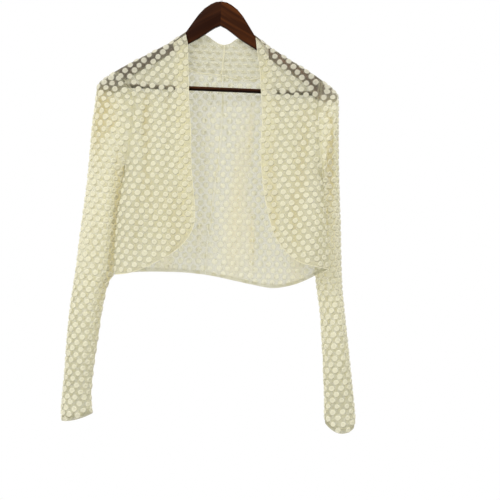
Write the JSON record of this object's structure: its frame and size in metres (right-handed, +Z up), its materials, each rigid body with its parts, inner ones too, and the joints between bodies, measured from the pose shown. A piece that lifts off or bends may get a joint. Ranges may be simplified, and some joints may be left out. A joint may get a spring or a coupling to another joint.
{
  "type": "bolero on wooden coat hanger",
  "caption": "Short open-front bolero of sheer spotted net with long sleeves and a stand band at the back neck, hung on an upright wooden coat hanger with a wire hook.",
  "frame": {"origin": "inside top of the hanger's hook, where a rail touches it", "axes": "+Z up along the hook's stem, +X along the hanger's arms, -Y out of the garment's open front"},
  "size_m": [0.5378, 0.1103, 0.8565],
  "materials": {
    "net": "matte",
    "wood": "satin",
    "steel": "polished"
  },
  "bodies": {
    "root": {"front_left": "net", "front_right": "net", "front_facing_left": "net", "front_facing_right": "net", "back_left": "net", "back_right": "net", "neck_band_left": "net", "neck_band_right": "net", "sleeve_left": "net", "sleeve_right": "net", "hanger_frame": "wood", "hanger_crossbar": "wood", "hanger_hook": "steel"}
  },
  "joints": []
}
